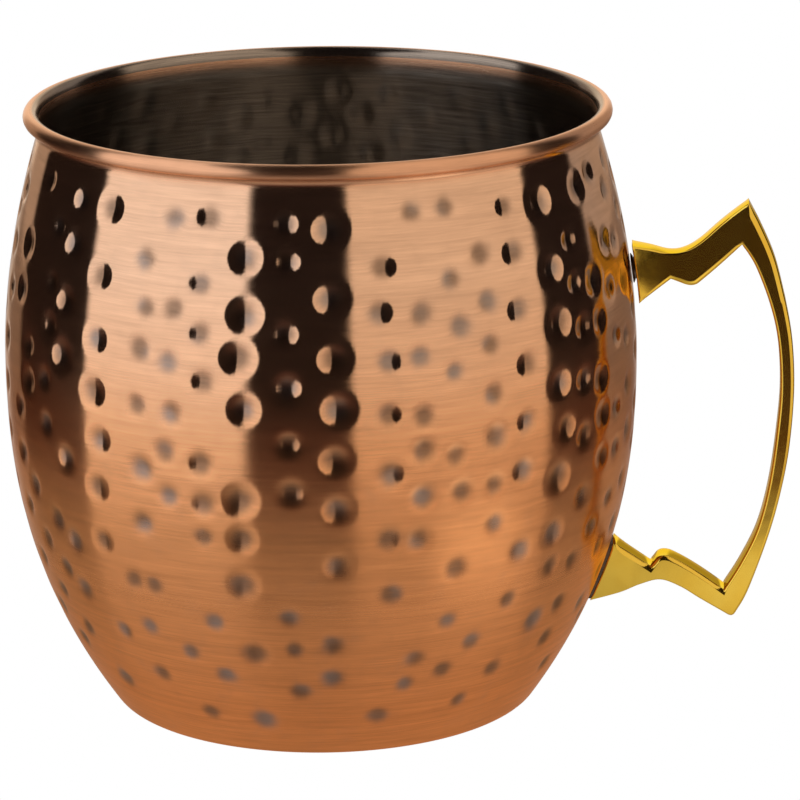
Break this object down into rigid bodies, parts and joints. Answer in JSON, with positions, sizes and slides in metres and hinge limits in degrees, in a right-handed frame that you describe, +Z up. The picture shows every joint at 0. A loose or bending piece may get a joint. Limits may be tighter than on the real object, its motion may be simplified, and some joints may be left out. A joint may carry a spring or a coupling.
{
  "type": "copper mug",
  "caption": "Large hammered barrel mug with an outward-rolled rim, a flat base and a cast openwork handle that stands off the wall on welded studs.",
  "frame": {"origin": "centre of the flat base, on the plane that the mug stands on", "axes": "+Z up along the barrel's axis, +X towards the handle, +Y completes the right-handed frame"},
  "size_m": [0.2559, 0.205, 0.1969],
  "materials": {
    "copper_shell": "copper-plated sheet, hammered outside with dark patina in the dents and fine brushing round the axis; dark nickel-toned brushed inside",
    "cast_brass": "cast brass, polished bright",
    "stud_steel": "darkened steel stud",
    "weld_metal": "dark weld metal"
  },
  "bodies": {
    "root": {"mug_body": "copper_shell", "handle": "cast_brass", "upper_stud": "stud_steel", "lower_stud": "stud_steel", "upper_weld": "weld_metal", "lower_weld": "weld_metal"}
  },
  "joints": []
}
